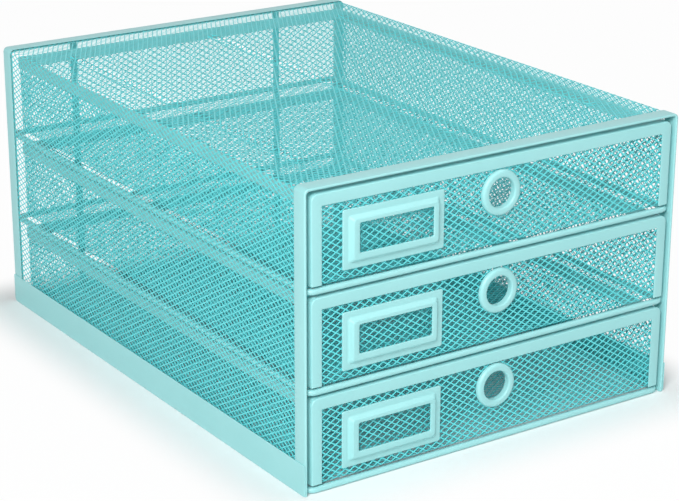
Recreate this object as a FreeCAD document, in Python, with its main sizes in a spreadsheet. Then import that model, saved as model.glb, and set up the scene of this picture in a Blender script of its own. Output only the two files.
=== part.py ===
import FreeCAD, Part
import math
import os
import Sketcher

# Desktop mini drawers: an expanded steel cabinet, open at the back, with three drawers that slide
# on bent steel rods. X runs to the right, Y from the front to the back and Z up. The origin is in
# the middle of the footprint, on the surface that the cabinet stands on. Lengths are in mm.

# Driving sizes
SIZES = {
    # cabinet
    "cabinet_width": 253.6,
    "cabinet_depth": 350.0,
    "cabinet_height": 172.0,
    "mesh_gauge": 0.8,
    "fold_clearance": 0.05,
    # folded trims round the front and rear edges
    "trim_gauge": 1.6,
    "trim_width": 10.0,
    "trim_web": 0.6,
    "trim_corner_radius": 3.2,
    # shell sheets and the strands between their openings
    "shell_seam_drop": 8.0,
    "shell_strand": 4.0,
    "groove_width": 7.0,
    "groove_depth": 1.5,
    "groove_offset": 101.0,
    "groove_margin": 42.0,
    # base strips
    "base_strip_height": 18.5,
    "base_strip_gauge": 0.5,
    "base_strip_corner_radius": 2.0,
    # runner loops
    "rod_diameter": 3.6,
    "rod_corner_radius": 4.5,
    "rod_ground_gap": 0.2,
    "rod_front_setback": 0.3,
    # rear straps
    "strap_width": 4.6,
    "strap_gauge": 1.0,
    "strap_offset": 77.5,
    # drawer trays
    "slide_clearance": 0.4,
    "drawer_side_gap": 3.0,
    "drawer_rear_gap": 11.0,
    "tray_bend_radius": 2.4,
    "tray_strand": 3.0,
    # drawer front frames
    "front_recess": 0.5,
    "frame_gauge": 0.8,
    "frame_lift": 1.1,
    "frame_rod_gap": 1.8,
    "frame_trim_gap": 2.5,
    "frame_side_width": 6.4,
    "frame_top_width": 6.8,
    "frame_return": 6.5,
    "frame_corner_radius": 3.5,
    # drawer rims
    "rim_height": 7.0,
    "rim_drop": 0.7,
    "rim_gauge": 0.8,
    "rim_corner_radius": 1.5,
    # finger rings
    "ring_bore_diameter": 17.2,
    "ring_outer_diameter": 26.0,
    "ring_back_diameter": 23.0,
    "ring_wall": 0.8,
    "ring_rise": 2.4,
    "ring_back": 0.8,
    "ring_clearance": 0.2,
    "ring_drop": 20.3,
    "ring_round_radius": 1.9,
    "ring_lip_radius": 1.1,
    # label holders
    "label_width": 65.0,
    "label_left_margin": 19.4,
    "label_top_margin": 11.5,
    "label_foot_margin": 5.1,
    "label_gauge": 0.8,
    "label_flange": 3.4,
    "label_slope": 2.0,
    "label_rise": 2.6,
    "label_corner_radius": 1.0,
    "window_left_margin": 9.0,
    "window_right_margin": 8.4,
    "window_top_margin": 7.5,
    "window_foot_margin": 8.9,
}
DRAWER_NAMES = ("bottom", "middle", "top")
TOLERANCE = 1e-6

# Columns and rows of the openings in each kind of sheet. The real openings, about 5 by 3 mm, are
# too small and too many for the solids, so these are fewer and larger and keep the staggered diamonds.
TOP_GRID = (10, 9)
SIDE_GRID = (10, 6)
END_GRID = (10, 3)
WALL_GRID = (12, 3)

# Axes of a sketch on each of the origin planes, across and up, then the plane's normal
PLANES = {
    "XY_Plane": (FreeCAD.Vector(1, 0, 0), FreeCAD.Vector(0, 1, 0), FreeCAD.Vector(0, 0, 1)),
    "XZ_Plane": (FreeCAD.Vector(1, 0, 0), FreeCAD.Vector(0, 0, 1), FreeCAD.Vector(0, 1, 0)),
    "YZ_Plane": (FreeCAD.Vector(0, 1, 0), FreeCAD.Vector(0, 0, 1), FreeCAD.Vector(1, 0, 0)),
}

doc = FreeCAD.newDocument("desktop_mini_drawers")
sheet = doc.addObject("Spreadsheet::Sheet", "Sizes")
for row, (alias, size) in enumerate(SIZES.items(), start=1):
    sheet.set(f"A{row}", alias)
    sheet.set(f"B{row}", str(size))
    sheet.setAlias(f"B{row}", alias)
doc.recompute()


def cells(text):
    """Expression on the sheet, in brackets, for a formula that names sizes."""
    words = text.split()
    return "(" + " ".join(f"Sizes.{word}" if word in SIZES else word for word in words) + ")"


# Places worked out from the driving sizes. Those in Y count from the cabinet's front face, and
# those of a drawer in Z from the underside of its tray.
FRONT_PROUD = cells("label_rise - front_recess")
CABINET_FRONT = f"(({FRONT_PROUD} - {cells('cabinet_depth')}) / 2)"
HALF_WIDTH = cells("cabinet_width / 2")
TRIM_INNER = cells("cabinet_width / 2 - trim_gauge")
TRIM_SKIN = cells("( trim_gauge - mesh_gauge ) / 2")
SLOT_SKIN = f"({TRIM_SKIN} - {cells('fold_clearance')})"
MESH_OUTER = f"({HALF_WIDTH} - {TRIM_SKIN})"
MESH_INNER = f"({MESH_OUTER} - {cells('mesh_gauge')})"
MESH_TOP = f"({cells('cabinet_height')} - {TRIM_SKIN})"
MESH_UNDER = f"({MESH_TOP} - {cells('mesh_gauge')})"
MESH_BEND = f"({cells('trim_corner_radius')} - {TRIM_SKIN})"
MESH_BEND_INNER = f"({MESH_BEND} - {cells('mesh_gauge')})"
SHELL_FRONT = cells("trim_web + fold_clearance")
SHELL_REAR = f"({cells('cabinet_depth')} - {SHELL_FRONT})"
SHELL_SEAM = cells("cabinet_height - shell_seam_drop")
TOP_HALF = f"({MESH_OUTER} - {MESH_BEND})"
PUNCH_REACH = cells("groove_depth + mesh_gauge")
ROD_RADIUS = cells("rod_diameter / 2")
ROD_SIDE = f"({TRIM_INNER} - {ROD_RADIUS})"
ROD_FRONT = f"({cells('rod_front_setback')} + {ROD_RADIUS})"
ROD_REAR = f"({cells('cabinet_depth - strap_gauge')} - {ROD_RADIUS})"
ROD_LEVEL = f"({cells('rod_ground_gap')} + {ROD_RADIUS})"
TRAY_LEVEL = cells("rod_ground_gap + rod_diameter + slide_clearance")
FRAME_FOOT_GAP = cells("rod_diameter + slide_clearance + frame_lift")
SPARE_HEIGHT = cells("rod_ground_gap + frame_trim_gap + trim_gauge")
GAP_COUNT = len(DRAWER_NAMES) - 1
FRAME_HEIGHT = (f"(({cells('cabinet_height')} - {SPARE_HEIGHT} - {GAP_COUNT} * {cells('frame_rod_gap')})"
                f" / {len(DRAWER_NAMES)} - {FRAME_FOOT_GAP})")
DRAWER_PITCH = f"({FRAME_FOOT_GAP} + {FRAME_HEIGHT} + {cells('frame_rod_gap')})"
DRAWER_HALF = f"({TRIM_INNER} - {cells('drawer_side_gap')})"
DRAWER_REAR = cells("cabinet_depth - drawer_rear_gap")
FACE_BACK = cells("front_recess + frame_gauge")
FACE_MESH_BACK = f"({FACE_BACK} + {cells('mesh_gauge')})"
FRAME_TOP = f"({cells('frame_lift')} + {FRAME_HEIGHT})"
FACE_MESH_TOP = f"({FRAME_TOP} - {cells('frame_gauge')})"
RETURN_BACK = cells("front_recess + frame_return")
RIM_TOP = f"({FRAME_TOP} - {cells('rim_drop')})"
RIM_FOOT = f"({RIM_TOP} - {cells('rim_height')})"
WALL_OUTER = f"({DRAWER_HALF} - {cells('rim_gauge')})"
WALL_INNER = f"({WALL_OUTER} - {cells('mesh_gauge')})"
WALL_TOP = f"({RIM_TOP} - {cells('rim_gauge')})"
TRAY_REAR = f"({DRAWER_REAR} - {cells('rim_gauge')})"
TRAY_REAR_INNER = f"({TRAY_REAR} - {cells('mesh_gauge')})"
RING_LEVEL = f"({FRAME_TOP} - {cells('ring_drop')})"
RING_NECK = cells("ring_bore_diameter / 2 + ring_wall")
LABEL_LEFT = f"({cells('label_left_margin')} - {DRAWER_HALF})"
LABEL_RIGHT = f"({LABEL_LEFT} + {cells('label_width')})"
LABEL_TOP = f"({FRAME_TOP} - {cells('label_top_margin')})"
LABEL_FOOT = cells("frame_lift + label_foot_margin")
WINDOW_LEFT = f"({LABEL_LEFT} + {cells('window_left_margin')})"
WINDOW_RIGHT = f"({LABEL_RIGHT} - {cells('window_right_margin')})"
WINDOW_TOP = f"({LABEL_TOP} - {cells('window_top_margin')})"
WINDOW_FOOT = f"({LABEL_FOOT} + {cells('window_foot_margin')})"
CABINET_BASE = ("0", CABINET_FRONT, "0")

nodes = []


# Helpers
def number(expression):
    """Value in mm of an expression on the sheet."""
    value = sheet.evalExpression(expression)
    return float(getattr(value, "Value", value))


def vector(point):
    """Sketch point for a pair of expressions."""
    return FreeCAD.Vector(number(point[0]), number(point[1]), 0)


def new_body(name):
    """Empty body for one sub-part."""
    return doc.addObject("PartDesign::Body", f"Body_{name}")


def place(part, name, base):
    """Name a finished sub-part and set its place by three expressions."""
    part.Label = name
    for axis, expression in zip("xyz", base):
        part.setExpression(f"Placement.Base.{axis}", expression)
    nodes.append(part)
    return part


def plate(name, low, high, base):
    """Flat plate between two corners given as expressions, in the frame that base sets."""
    box = doc.addObject("Part::Box", f"Plate_{name}")
    for side, first, last in zip(("Length", "Width", "Height"), low, high):
        box.setExpression(side, f"({last} - {first})")
    return place(box, name, [f"({shift} + {first})" for shift, first in zip(base, low)])


def new_sketch(body, name, role, shift):
    """Empty sketch on one of the body's own origin planes, shifted along the plane's normal."""
    sketch = body.newObject("Sketcher::SketchObject", name)
    plane = next(item for item in body.Origin.OriginFeatures if item.Role == role)
    sketch.AttachmentSupport = (plane, [""])
    sketch.MapMode = "FlatFace"
    sketch.setExpression("AttachmentOffset.Base.z", shift)
    return sketch


def pin_point(sketch, edge, end, point):
    """Hold one end or the centre of a sketch edge to a pair of expressions."""
    for kind, axis, expression in zip(("DistanceX", "DistanceY"), (-2, -1), point):
        if expression == "0":
            sketch.addConstraint(Sketcher.Constraint("PointOnObject", edge, end, axis))
            continue
        made = sketch.addConstraint(Sketcher.Constraint(kind, -1, 1, edge, end, number(expression)))
        sketch.setExpression(f"Constraints[{made}]", expression)


def circle(body, name, role, centre, diameter, shift):
    """Sketch of one circle."""
    sketch = new_sketch(body, name, role, shift)
    normal = FreeCAD.Vector(0, 0, 1)
    sketch.addGeometry(Part.Circle(vector(centre), normal, number(diameter) / 2), False)
    pin_point(sketch, 0, 3, centre)
    made = sketch.addConstraint(Sketcher.Constraint("Diameter", 0, number(diameter)))
    sketch.setExpression(f"Constraints[{made}]", diameter)
    return sketch


def corner_stops(corners, index):
    """Where the straight sides stop at one corner: its point, or both ends of its rounding."""
    corner = corners[index]
    if len(corner) == 2:
        return [corner]
    stops = []
    for other in (corners[index - 1], corners[(index + 1) % len(corners)]):
        way = vector(other) - vector(corner)
        steps = [0 if abs(run) < TOLERANCE else round(math.copysign(1, run)) for run in way[:2]]
        stops.append(tuple(f"({start} + {step} * {corner[2]})" if step else start
                           for start, step in zip(corner[:2], steps)))
    return stops


def outline(body, name, role, corners, shift="0"):
    """Closed sketch of straight sides, parallel to the axes, whose corners may be rounded.

    Each corner is (u, v) or (u, v, radius), as expressions.
    """
    sketch = new_sketch(body, name, role, shift)
    stops = [corner_stops(corners, index) for index in range(len(corners))]
    edges = []
    for index, ends in enumerate(stops):
        if len(ends) == 2:
            edges.append((ends[0], ends[1], corners[index]))
        start, end = ends[-1], stops[(index + 1) % len(stops)][0]
        if (vector(end) - vector(start)).Length > TOLERANCE:
            edges.append((start, end, None))
    for start, end, corner in edges:
        first, last = vector(start), vector(end)
        if corner is None:
            sketch.addGeometry(Part.LineSegment(first, last), False)
            continue
        centre = first + last - vector(corner)
        outward = (vector(corner) - centre).normalize()
        sketch.addGeometry(Part.Arc(first, centre + outward * number(corner[2]), last), False)
    for index, (start, _, corner) in enumerate(edges):
        before = (index - 1) % len(edges)
        head, tail = (1 if (sketch.getPoint(edge, 1) - vector(start)).Length < TOLERANCE else 2
                      for edge in (index, before))
        sketch.addConstraint(Sketcher.Constraint("Coincident", before, tail, index, head))
        pin_point(sketch, index, head, start)
        if corner is not None:
            made = sketch.addConstraint(Sketcher.Constraint("Radius", index, number(corner[2])))
            sketch.setExpression(f"Constraints[{made}]", corner[2])
    return sketch


def rectangle(low_u, high_u, low_v, high_v, radius=None):
    """Corners of a rectangle, all rounded alike if a radius is given."""
    points = ((low_u, low_v), (low_u, high_v), (high_u, high_v), (high_u, low_v))
    return [point if radius is None else point + (radius,) for point in points]


def arch(half, top, gauge, radius, foot):
    """Corners of an arch-shaped band, with an outer radius at its two top corners."""
    inner, under, inner_radius = f"({half} - {gauge})", f"({top} - {gauge})", f"({radius} - {gauge})"
    return [(f"-{half}", foot), (f"-{half}", top, radius), (half, top, radius), (half, foot),
            (inner, foot), (inner, under, inner_radius), (f"-{inner}", under, inner_radius),
            (f"-{inner}", foot)]


def extrude(body, name, sketch, length, kind="Pad", reverse=False):
    """Pad or pocket of a sketch, by a length given as an expression."""
    feature = body.newObject(f"PartDesign::{kind}", name)
    feature.Profile = sketch
    feature.setExpression("Length", length)
    feature.Reversed = reverse
    sketch.Visibility = False
    return feature


def diamonds(low, high, counts, strand, ring=None):
    """Outlines of the staggered diamonds in a rectangle, as lists of sketch points.

    One diamond fills each cell of the grid and one sits on each inner corner of it, a strand apart.
    ring is the centre and the radius of a round place that stays whole.
    """
    start, span = vector(low), vector(high) - vector(low)
    across, up = span.x / counts[0], span.y / counts[1]
    cut = number(strand) * math.hypot(across, up)
    half_across, half_up = (across - cut / up) / 2, (up - cut / across) / 2
    aside, above = FreeCAD.Vector(half_across, 0), FreeCAD.Vector(0, half_up)
    clear = (FreeCAD.Vector(), 0) if ring is None else (vector(ring[0]), number(ring[1]))
    points = []
    for column in range(1, 2 * counts[0]):
        for row in range(2 - column % 2, 2 * counts[1], 2):
            middle = start + FreeCAD.Vector(column * across / 2, row * up / 2)
            corners = [middle - aside, middle + above, middle + aside, middle - above]
            if min((corner - clear[0]).Length for corner in corners) > clear[1]:
                points.append(corners)
    return points


def holes(grid, role, level):
    """Closed wires of a grid of diamonds on a plane, at a level along its normal."""
    across, up, normal = PLANES[role]
    loops = []
    for corners in grid:
        loop = [across * corner.x + up * corner.y + normal * number(level) for corner in corners]
        loops.append(Part.makePolygon(loop + loop[:1]))
    return loops


def grille(name, outlines, role, level, grid, base):
    """Flat sheet inside the first outline, less the other outlines and a grid of diamonds."""
    doc.recompute()
    plan = doc.addObject("Part::Feature", f"{name}_plan")
    wires = [sketch.Shape.Wires[0] for sketch in outlines] + holes(grid, role, level)
    plan.Shape = Part.makeFace(wires, "Part::FaceMakerBullseye")
    flat = doc.addObject("Part::Extrusion", f"{name}_sheet")
    flat.Base, flat.DirMode, flat.Dir, flat.Solid = plan, "Custom", PLANES[role][2], True
    flat.setExpression("LengthFwd", cells("mesh_gauge"))
    place(flat, name, base)


# Pieces of the cabinet
def top_mesh():
    """Flat top sheet with three grooves pressed into it from above."""
    body = new_body("top_mesh")
    flat = outline(body, "top_outline", "XY_Plane", rectangle(
        f"-{TOP_HALF}", TOP_HALF, SHELL_FRONT, SHELL_REAR), MESH_UNDER)
    extrude(body, "top_sheet", flat, cells("mesh_gauge"))
    steps = (("bead", "0", MESH_UNDER, "Pad"), ("groove", cells("mesh_gauge"), MESH_TOP, "Pocket"))
    for side in (-1, 0, 1):
        middle = f"({side} * {cells('groove_offset')})"
        for kind_name, inset, level, kind in steps:
            half = f"({cells('groove_width / 2')} - {inset})"
            front = f"({cells('groove_margin')} + {inset})"
            rear = f"({cells('cabinet_depth - groove_margin')} - {inset})"
            stadium = outline(body, f"{kind_name}_outline_{side + 1}", "XY_Plane", rectangle(
                f"({middle} - {half})", f"({middle} + {half})", front, rear, half), level)
            extrude(body, f"{kind_name}_{side + 1}", stadium, cells("groove_depth"), kind, kind == "Pad")
    grid = diamonds((f"-{TOP_HALF}", cells("trim_width")),
                    (TOP_HALF, cells("cabinet_depth - trim_width")), TOP_GRID, cells("shell_strand"))
    # The openings also go through the grooves, so they are cut from the finished sheet
    plan = doc.addObject("Part::Feature", "top_mesh_diamonds")
    plan.Shape = Part.makeCompound([Part.Face(wire) for wire in holes(grid, "XY_Plane", MESH_UNDER)])
    punch = doc.addObject("Part::Extrusion", "top_mesh_punch")
    punch.Base, punch.DirMode, punch.Dir, punch.Solid = plan, "Custom", PLANES["XY_Plane"][2], True
    for length in ("LengthFwd", "LengthRev"):
        punch.setExpression(length, PUNCH_REACH)
    cut = doc.addObject("Part::Cut", "top_mesh_sheet")
    cut.Base, cut.Tool = body, punch
    place(cut, "top_mesh", CABINET_BASE)


def shoulder_mesh(name, sign):
    """Bend from the top sheet down into one side; sign is -1 on the left and 1 on the right."""
    body = new_body(name)
    edge, outer, inner = (f"({sign} * {reach})" for reach in (TOP_HALF, MESH_OUTER, MESH_INNER))
    section = outline(body, f"{name}_section", "XZ_Plane", [
        (edge, MESH_UNDER), (edge, MESH_TOP), (outer, MESH_TOP, MESH_BEND), (outer, SHELL_SEAM),
        (inner, SHELL_SEAM), (inner, MESH_UNDER, MESH_BEND_INNER)], f"-{SHELL_FRONT}")
    extrude(body, f"{name}_sheet", section, f"({SHELL_REAR} - {SHELL_FRONT})", reverse=True)
    place(body, name, CABINET_BASE)


def shell_side(name, inner_side):
    """Side sheet of the shell, from the base strip's web up to the bend; inner_side is its low X."""
    edge = outline(new_body(name), f"{name}_outline", "YZ_Plane", rectangle(
        SHELL_FRONT, SHELL_REAR, cells("base_strip_gauge"), SHELL_SEAM), inner_side)
    grid = diamonds((cells("trim_width"), cells("base_strip_height")),
                    (cells("cabinet_depth - trim_width"), SHELL_SEAM), SIDE_GRID, cells("shell_strand"))
    grille(name, [edge], "YZ_Plane", inner_side, grid, CABINET_BASE)


def trim(name, start, slot_start):
    """Folded strip that clasps one edge of the shell between two skins."""
    body = new_body(name)
    band = outline(body, f"{name}_band", "XZ_Plane", arch(
        HALF_WIDTH, cells("cabinet_height"), cells("trim_gauge"), cells("trim_corner_radius"),
        cells("base_strip_gauge")), f"-{start}")
    extrude(body, f"{name}_strip", band, cells("trim_width"), reverse=True)
    slot = outline(body, f"{name}_slot", "XZ_Plane", arch(
        f"({HALF_WIDTH} - {SLOT_SKIN})", f"({cells('cabinet_height')} - {SLOT_SKIN})",
        cells("( mesh_gauge + 2 * fold_clearance )"), f"({cells('trim_corner_radius')} - {SLOT_SKIN})",
        cells("base_strip_gauge")), f"-{slot_start}")
    extrude(body, f"{name}_fold", slot, cells("trim_width - trim_web"), "Pocket")
    place(body, name, CABINET_BASE)


def base_strip(name, skin_start, web_start):
    """Folded strip that laps the foot of one side, with a web turned in under it."""
    body = new_body(name)
    radius = cells("base_strip_corner_radius")
    depth, height = cells("cabinet_depth"), cells("base_strip_height")
    skin = outline(body, f"{name}_skin", "YZ_Plane", [
        ("0", height), ("0", "0", radius), (depth, "0", radius), (depth, height)], skin_start)
    extrude(body, f"{name}_sheet", skin, cells("base_strip_gauge"))
    web = outline(body, f"{name}_web", "YZ_Plane", rectangle(
        radius, f"({depth} - {radius})", "0", cells("base_strip_gauge")), web_start)
    extrude(body, f"{name}_turn", web, cells("trim_gauge"))
    place(body, name, CABINET_BASE)


def runner_loop(name, level):
    """Steel rod bent into a closed rectangle, at the height that level gives."""
    body = new_body(name)
    bend = cells("rod_corner_radius")
    route = outline(body, f"{name}_route", "XY_Plane", rectangle(
        f"-{ROD_SIDE}", ROD_SIDE, ROD_FRONT, ROD_REAR, bend))
    route.Visibility = False
    section = circle(body, f"{name}_section", "XZ_Plane", (f"-{ROD_SIDE}", "0"),
                     cells("rod_diameter"), f"-({ROD_FRONT} + {bend})")
    section.Visibility = False
    doc.recompute()
    rod = body.newObject("PartDesign::AdditivePipe", f"{name}_rod")
    rod.Profile = section
    rod.Spine = (route, [])
    place(body, name, ("0", CABINET_FRONT, level))


def rear_strap(name, middle):
    """Upright strip on the back of the rods, from the lowest one up to the rear trim."""
    half = cells("strap_width / 2")
    plate(name, (f"({middle} - {half})", cells("cabinet_depth - strap_gauge"), cells("rod_ground_gap")),
          (f"({middle} + {half})", cells("cabinet_depth"), cells("cabinet_height - trim_gauge")),
          CABINET_BASE)


# Pieces of a drawer, each from the drawer's name and the place of its tray
def front_mesh(drawer, base):
    """Front sheet of the tray, with the round hole for the finger ring."""
    body = new_body(f"{drawer}_front")
    face = outline(body, f"{drawer}_front_outline", "XZ_Plane", rectangle(
        f"-{WALL_INNER}", WALL_INNER, cells("tray_bend_radius"), FACE_MESH_TOP), f"-{FACE_BACK}")
    hole = circle(body, f"{drawer}_front_circle", "XZ_Plane", ("0", RING_LEVEL),
                  f"(2 * ({RING_NECK} + {cells('ring_clearance')}))", f"-{FACE_BACK}")
    half = f"({DRAWER_HALF} - {cells('frame_side_width')})"
    grid = diamonds((f"-{half}", cells("tray_bend_radius")),
                    (half, f"({FRAME_TOP} - {cells('frame_top_width')})"), END_GRID,
                    cells("tray_strand"), (("0", RING_LEVEL), cells("ring_outer_diameter / 2")))
    grille(f"{drawer}_drawer_front_mesh", [face, hole], "XZ_Plane", FACE_BACK, grid, base)


def floor_mesh(drawer, base):
    """Floor sheet, bent up through a quarter turn to meet the front and rear sheets."""
    body = new_body(f"{drawer}_floor")
    gauge, bend = cells("mesh_gauge"), cells("tray_bend_radius")
    inner_bend = f"({bend} - {gauge})"
    front, rear = f"({FACE_BACK} + {gauge})", f"({TRAY_REAR} - {gauge})"
    section = outline(body, f"{drawer}_floor_section", "YZ_Plane", [
        (FACE_BACK, bend), (FACE_BACK, "0", bend), (TRAY_REAR, "0", bend), (TRAY_REAR, bend),
        (rear, bend), (rear, gauge, inner_bend), (front, gauge, inner_bend), (front, bend)],
        f"-{WALL_INNER}")
    extrude(body, f"{drawer}_floor_sheet", section, f"(2 * {WALL_INNER})")
    place(body, f"{drawer}_drawer_floor_mesh", base)


def side_mesh(drawer, side, start, base):
    """Side sheet of the tray, with its two lower corners rounded like the tray's bends."""
    bend = cells("tray_bend_radius")
    edge = outline(new_body(f"{drawer}_{side}"), f"{drawer}_{side}_outline", "YZ_Plane", [
        (FACE_BACK, WALL_TOP), (FACE_BACK, "0", bend), (TRAY_REAR, "0", bend), (TRAY_REAR, WALL_TOP)],
        start)
    grid = diamonds((RETURN_BACK, cells("tray_bend_radius")), (TRAY_REAR_INNER, RIM_FOOT), WALL_GRID,
                    cells("tray_strand"))
    grille(f"{drawer}_drawer_{side}_mesh", [edge], "YZ_Plane", start, grid, base)


def rear_mesh(drawer, base):
    """Rear sheet of the tray, between the side sheets."""
    edge = outline(new_body(f"{drawer}_rear"), f"{drawer}_rear_outline", "XZ_Plane", rectangle(
        f"-{WALL_INNER}", WALL_INNER, cells("tray_bend_radius"), WALL_TOP), f"-{TRAY_REAR_INNER}")
    grid = diamonds((f"-{WALL_INNER}", cells("tray_bend_radius")), (WALL_INNER, RIM_FOOT), END_GRID,
                    cells("tray_strand"))
    grille(f"{drawer}_drawer_rear_mesh", [edge], "XZ_Plane", TRAY_REAR_INNER, grid, base)


def front_frame(drawer, base):
    """Folded strip left, top and right of the front: a flat face, and a return at its outer edge."""
    body = new_body(f"{drawer}_frame")
    radius, foot = cells("frame_corner_radius"), cells("frame_lift")
    inner = f"({DRAWER_HALF} - {cells('frame_side_width')})"
    under = f"({FRAME_TOP} - {cells('frame_top_width')})"
    face = outline(body, f"{drawer}_frame_outline", "XZ_Plane", [
        (f"-{DRAWER_HALF}", foot), (f"-{DRAWER_HALF}", FRAME_TOP, radius),
        (DRAWER_HALF, FRAME_TOP, radius), (DRAWER_HALF, foot), (inner, foot), (inner, under),
        (f"-{inner}", under), (f"-{inner}", foot)], f"-{cells('front_recess')}")
    extrude(body, f"{drawer}_frame_face", face, cells("frame_gauge"), reverse=True)
    edge = outline(body, f"{drawer}_frame_edge", "XZ_Plane", arch(
        DRAWER_HALF, FRAME_TOP, cells("frame_gauge"), radius, foot), f"-{FACE_BACK}")
    extrude(body, f"{drawer}_frame_return", edge, f"({RETURN_BACK} - {FACE_BACK})", reverse=True)
    place(body, f"{drawer}_drawer_front_frame", base)


def rim(drawer, base):
    """Folded strip over the top edges of the left, rear and right sheets."""
    body = new_body(f"{drawer}_rim")
    radius, gap = cells("rim_corner_radius"), cells("fold_clearance")
    inner = f"({WALL_INNER} - {cells('rim_gauge')})"
    rear_inner = f"({TRAY_REAR_INNER} - {cells('rim_gauge')})"
    band = outline(body, f"{drawer}_rim_band", "XY_Plane", [
        (f"-{DRAWER_HALF}", RETURN_BACK), (f"-{DRAWER_HALF}", DRAWER_REAR, radius),
        (DRAWER_HALF, DRAWER_REAR, radius), (DRAWER_HALF, RETURN_BACK), (inner, RETURN_BACK),
        (inner, rear_inner), (f"-{inner}", rear_inner), (f"-{inner}", RETURN_BACK)], RIM_FOOT)
    extrude(body, f"{drawer}_rim_strip", band, cells("rim_height"))
    slot_outer, slot_inner = f"({WALL_OUTER} + {gap})", f"({WALL_INNER} - {gap})"
    slot_rear, slot_front = f"({TRAY_REAR} + {gap})", f"({TRAY_REAR_INNER} - {gap})"
    slot = outline(body, f"{drawer}_rim_slot", "XY_Plane", [
        (f"-{slot_outer}", RETURN_BACK), (f"-{slot_outer}", slot_rear), (slot_outer, slot_rear),
        (slot_outer, RETURN_BACK), (slot_inner, RETURN_BACK), (slot_inner, slot_front),
        (f"-{slot_inner}", slot_front), (f"-{slot_inner}", RETURN_BACK)], RIM_FOOT)
    extrude(body, f"{drawer}_rim_fold", slot, f"({WALL_TOP} - {RIM_FOOT})", "Pocket", True)
    place(body, f"{drawer}_drawer_rim", base)


def finger_ring(drawer, base):
    """Round eyelet: a domed front flange, a neck through the sheet and a back flange."""
    body = new_body(f"{drawer}_ring")
    bore, outer = cells("ring_bore_diameter / 2"), cells("ring_outer_diameter / 2")
    back_outer = cells("ring_back_diameter / 2")
    front, back = f"({FACE_BACK} - {cells('ring_rise')})", f"({FACE_MESH_BACK} + {cells('ring_back')})"
    section = outline(body, f"{drawer}_ring_section", "YZ_Plane", [
        (front, bore, cells("ring_lip_radius")), (front, outer, cells("ring_round_radius")),
        (FACE_BACK, outer), (FACE_BACK, RING_NECK), (FACE_MESH_BACK, RING_NECK),
        (FACE_MESH_BACK, back_outer), (back, back_outer), (back, bore)])
    turn = body.newObject("PartDesign::Revolution", f"{drawer}_ring_turn")
    turn.Profile = section
    turn.ReferenceAxis = (section, ["H_Axis"])
    turn.Angle = 360
    section.Visibility = False
    place(body, f"{drawer}_drawer_finger_ring", (base[0], base[1], f"({base[2]} + {RING_LEVEL})"))


def label_holder(drawer, base):
    """Stamped frame: a flat flange, a sloped step, a raised face with a window, hollow behind."""
    body = new_body(f"{drawer}_label")
    back = f"-{FACE_BACK}"
    rise = cells("label_gauge + label_rise")

    def inset(amount):
        """Sides of the holder's outline, drawn in by an amount."""
        return (f"({LABEL_LEFT} + {amount})", f"({LABEL_RIGHT} - {amount})",
                f"({LABEL_FOOT} + {amount})", f"({LABEL_TOP} - {amount})")

    flange = outline(body, f"{drawer}_label_outline", "XZ_Plane", rectangle(
        *inset("0"), cells("label_corner_radius")), back)
    extrude(body, f"{drawer}_label_flange", flange, cells("label_gauge"))
    raised = outline(body, f"{drawer}_label_step", "XZ_Plane", rectangle(
        *inset(cells("label_flange"))), back)
    block = extrude(body, f"{drawer}_label_block", raised, rise)
    doc.recompute()
    face_level = number(f"({FACE_BACK} - {rise})")
    face_edges = [f"Edge{index}" for index, edge in enumerate(block.Shape.Edges, start=1)
                  if all(abs(corner.Y - face_level) < TOLERANCE for corner in edge.Vertexes)]
    slope = body.newObject("PartDesign::Chamfer", f"{drawer}_label_slope")
    slope.Base = (block, face_edges)
    slope.setExpression("Size", cells("label_slope"))
    hollow = outline(body, f"{drawer}_label_hollow", "XZ_Plane", rectangle(
        *inset(cells("label_flange + label_slope"))), back)
    extrude(body, f"{drawer}_label_pocket", hollow, cells("label_rise"), "Pocket", True)
    window = outline(body, f"{drawer}_label_opening", "XZ_Plane", rectangle(
        WINDOW_LEFT, WINDOW_RIGHT, WINDOW_FOOT, WINDOW_TOP), back)
    extrude(body, f"{drawer}_label_window", window, rise, "Pocket", True)
    place(body, f"{drawer}_drawer_label_holder", base)


# Cabinet
shell_side("left_side_mesh", f"-{MESH_OUTER}")
shell_side("right_side_mesh", MESH_INNER)
shoulder_mesh("left_shoulder_mesh", -1)
shoulder_mesh("right_shoulder_mesh", 1)
top_mesh()
trim("front_trim", "0", cells("trim_web"))
trim("rear_trim", cells("cabinet_depth - trim_width"), cells("cabinet_depth - trim_width"))
base_strip("left_base_strip", f"-({HALF_WIDTH} + {cells('base_strip_gauge')})", f"-{HALF_WIDTH}")
base_strip("right_base_strip", HALF_WIDTH, TRIM_INNER)
rear_strap("left_rear_strap", f"-{cells('strap_offset')}")
rear_strap("right_rear_strap", cells("strap_offset"))

# Runner loops and drawers, from the lowest up
for index, drawer in enumerate(DRAWER_NAMES):
    step_up = f"{index} * {DRAWER_PITCH}"
    tray = ("0", CABINET_FRONT, f"({TRAY_LEVEL} + {step_up})")
    runner_loop(f"{drawer}_runner_loop", f"({ROD_LEVEL} + {step_up})")
    front_mesh(drawer, tray)
    floor_mesh(drawer, tray)
    side_mesh(drawer, "left", f"-{WALL_OUTER}", tray)
    side_mesh(drawer, "right", WALL_INNER, tray)
    rear_mesh(drawer, tray)
    front_frame(drawer, tray)
    rim(drawer, tray)
    finger_ring(drawer, tray)
    label_holder(drawer, tray)

# Check every object, then write each sub-part to its own file
doc.recompute()
faults = [f"{item.Label}: {item.State}" for item in doc.Objects
          if any(word in item.State for word in ("Invalid", "Error"))]
faults += [f"{part.Label}: no valid solid" for part in nodes
           if part.Shape.isNull() or not part.Shape.isValid() or len(part.Shape.Solids) != 1]
if faults:
    raise RuntimeError("; ".join(faults))
os.makedirs("parts", exist_ok=True)
for part in nodes:
    part.Shape.exportStep(f"parts/{part.Label}.step")
print(f"{len(nodes)} sub-parts written")
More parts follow.
